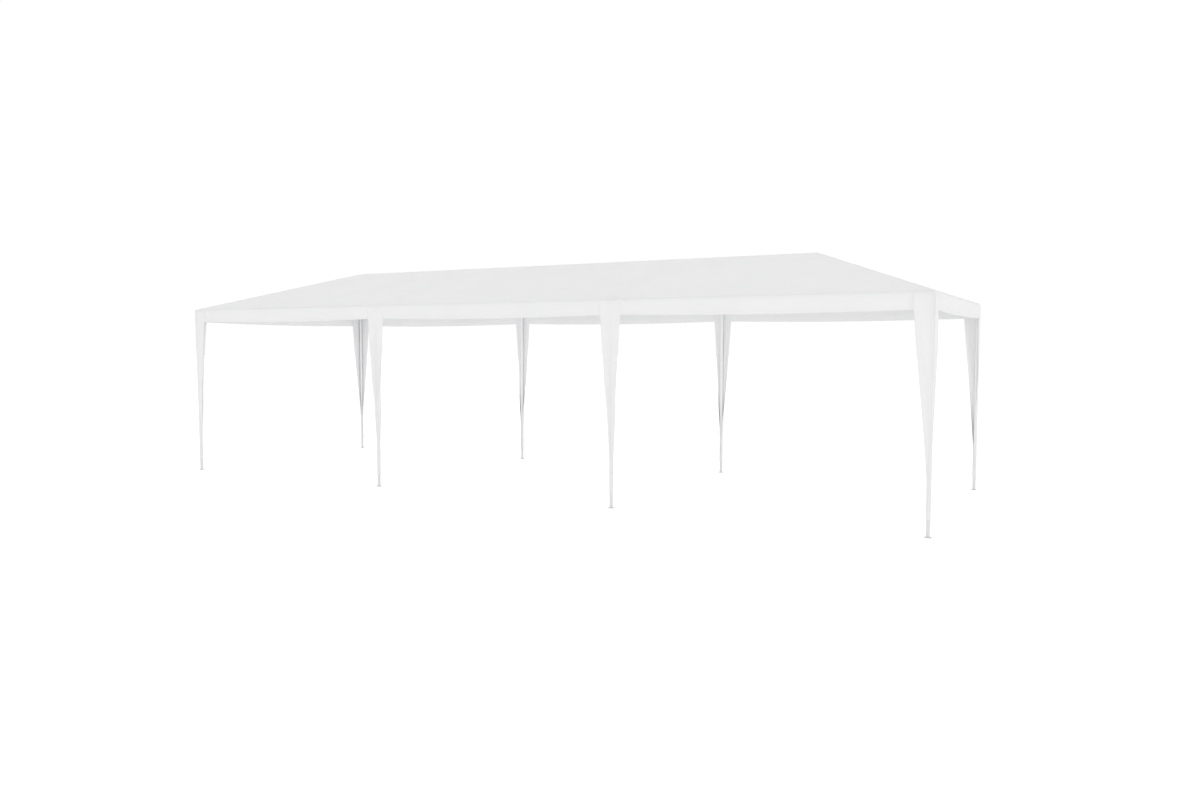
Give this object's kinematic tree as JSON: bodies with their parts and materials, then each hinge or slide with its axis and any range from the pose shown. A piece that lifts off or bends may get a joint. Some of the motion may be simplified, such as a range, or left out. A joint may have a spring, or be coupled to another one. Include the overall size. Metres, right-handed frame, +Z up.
{
  "type": "marquee tent",
  "caption": "Long open-sided marquee tent: hipped fabric canopy with a short valance and tapered leg sleeves on a tube frame with foot plates.",
  "frame": {"origin": "on the ground, at the centre of the plan", "axes": "+X along the length, +Y from the front to the back, +Z up"},
  "size_m": [9.0134, 3.0134, 2.5496],
  "materials": {
    "white_fabric": "matte to satin, coated woven polyethylene",
    "white_painted_steel": "satin powder coat"
  },
  "bodies": {
    "root": {"corner_head_back_left": "white_painted_steel", "corner_head_back_right": "white_painted_steel", "corner_head_front_left": "white_painted_steel", "corner_head_front_right": "white_painted_steel", "eave_rail_back_1": "white_painted_steel", "eave_rail_back_2": "white_painted_steel", "eave_rail_back_3": "white_painted_steel", "eave_rail_front_1": "white_painted_steel", "eave_rail_front_2": "white_painted_steel", "eave_rail_front_3": "white_painted_steel", "end_rail_left": "white_painted_steel", "end_rail_right": "white_painted_steel", "hip_rafter_back_left": "white_painted_steel", "hip_rafter_back_right": "white_painted_steel", "hip_rafter_front_left": "white_painted_steel", "hip_rafter_front_right": "white_painted_steel", "leg_back_1": "white_painted_steel", "leg_back_2": "white_painted_steel", "leg_back_3": "white_painted_steel", "leg_back_4": "white_painted_steel", "leg_front_1": "white_painted_steel", "leg_front_2": "white_painted_steel", "leg_front_3": "white_painted_steel", "leg_front_4": "white_painted_steel", "leg_head_back_2": "white_painted_steel", "leg_head_back_3": "white_painted_steel", "leg_head_front_2": "white_painted_steel", "leg_head_front_3": "white_painted_steel", "mid_rafter_back_1": "white_painted_steel", "mid_rafter_back_2": "white_painted_steel", "mid_rafter_front_1": "white_painted_steel", "mid_rafter_front_2": "white_painted_steel", "ridge_end_left": "white_painted_steel", "ridge_end_right": "white_painted_steel", "ridge_joint_2": "white_painted_steel", "ridge_joint_3": "white_painted_steel", "ridge_pole_1": "white_painted_steel", "ridge_pole_2": "white_painted_steel", "ridge_pole_3": "white_painted_steel", "roof_panel_back": "white_fabric", "roof_panel_front": "white_fabric", "roof_panel_left": "white_fabric", "roof_panel_right": "white_fabric", "sleeve_back_1": "white_fabric", "sleeve_back_2": "white_fabric", "sleeve_back_3": "white_fabric", "sleeve_back_4": "white_fabric", "sleeve_front_1": "white_fabric", "sleeve_front_2": "white_fabric", "sleeve_front_3": "white_fabric", "sleeve_front_4": "white_fabric", "valance_back": "white_fabric", "valance_front": "white_fabric", "valance_left": "white_fabric", "valance_right": "white_fabric"}
  },
  "joints": []
}
